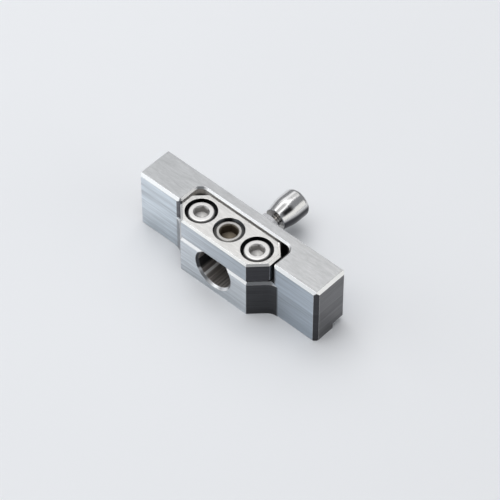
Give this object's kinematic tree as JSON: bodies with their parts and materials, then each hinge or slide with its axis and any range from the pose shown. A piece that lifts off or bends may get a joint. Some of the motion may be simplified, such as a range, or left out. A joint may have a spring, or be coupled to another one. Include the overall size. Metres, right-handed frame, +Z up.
{
  "type": "stub-bar clamp",
  "caption": "Milled stainless steel clamp bar with a blind 16 mm shank seat, a screw-down clamp plate, a set screw and a spring plunger.",
  "frame": {"origin": "middle of the bar's length, on its front face, at its underside", "axes": "+X along the bar to its right end, +Y from the shank seat's mouth to the pull knob, +Z up"},
  "size_m": [0.09, 0.0478, 0.027],
  "materials": {
    "body_steel": "milled stainless steel, satin",
    "plate_steel": "ground stainless steel, satin",
    "screw_steel": "cold-headed stainless steel",
    "set_screw_steel": "turned stainless steel, dull",
    "washer_steel": "satin",
    "spring_steel": "drawn wire",
    "pad_brass": "turned",
    "barrel_steel": "turned stainless steel",
    "pin_steel": "ground",
    "knob_steel": "polished stainless steel"
  },
  "bodies": {
    "base": {"clamp_body": "body_steel", "plunger_barrel": "barrel_steel", "plunger_lock_nut": "washer_steel", "plunger_spring": "spring_steel", "left_lift_spring": "spring_steel", "right_lift_spring": "spring_steel"},
    "plate": {"clamp_plate": "plate_steel", "left_screw_washer": "washer_steel", "right_screw_washer": "washer_steel"},
    "left_screw": {"left_cap_screw": "screw_steel"},
    "right_screw": {"right_cap_screw": "screw_steel"},
    "pad": {"pressure_pad": "pad_brass"},
    "middle_screw": {"set_screw": "set_screw_steel"},
    "plunger": {"plunger_pin": "pin_steel", "pull_knob": "knob_steel"}
  },
  "joints": [
    {"name": "plate_lift", "type": "slide", "parent": "base", "child": "plate", "axis": [0, 0, 1], "range_m": [-0.0004, 0.002], "deforming": ["left_lift_spring", "right_lift_spring"]},
    {"name": "left_screw_turn", "type": "hinge", "parent": "plate", "child": "left_screw", "pos_m": [-0.014, 0.00195, 0.02], "axis": [0, 0, 1], "range_deg": [-144, 720]},
    {"name": "right_screw_turn", "type": "hinge", "parent": "plate", "child": "right_screw", "pos_m": [0.014, 0.00195, 0.02], "axis": [0, 0, 1], "range_deg": [-144, 720]},
    {"name": "pad_travel", "type": "slide", "parent": "plate", "child": "pad", "axis": [0, 0, 1], "range_m": [-0.00117, 0.00039]},
    {"name": "set_screw_turn", "type": "hinge", "parent": "pad", "child": "middle_screw", "pos_m": [0, 0.00195, 0.022], "axis": [0, 0, 1], "range_deg": [-240, 80]},
    {"name": "plunger_pull", "type": "slide", "parent": "base", "child": "plunger", "axis": [0, 1, 0], "range_m": [0, 0.005], "stiffness_N_per_m": 1200, "springref_m": -0.004, "deforming": ["plunger_spring"]}
  ],
  "couplings": [
    {"joint": "left_screw_turn", "follows": "plate_lift", "rad_per_m": 6283.2},
    {"joint": "right_screw_turn", "follows": "plate_lift", "rad_per_m": 6283.2},
    {"joint": "set_screw_turn", "follows": "pad_travel", "rad_per_m": 3590.4}
  ]
}
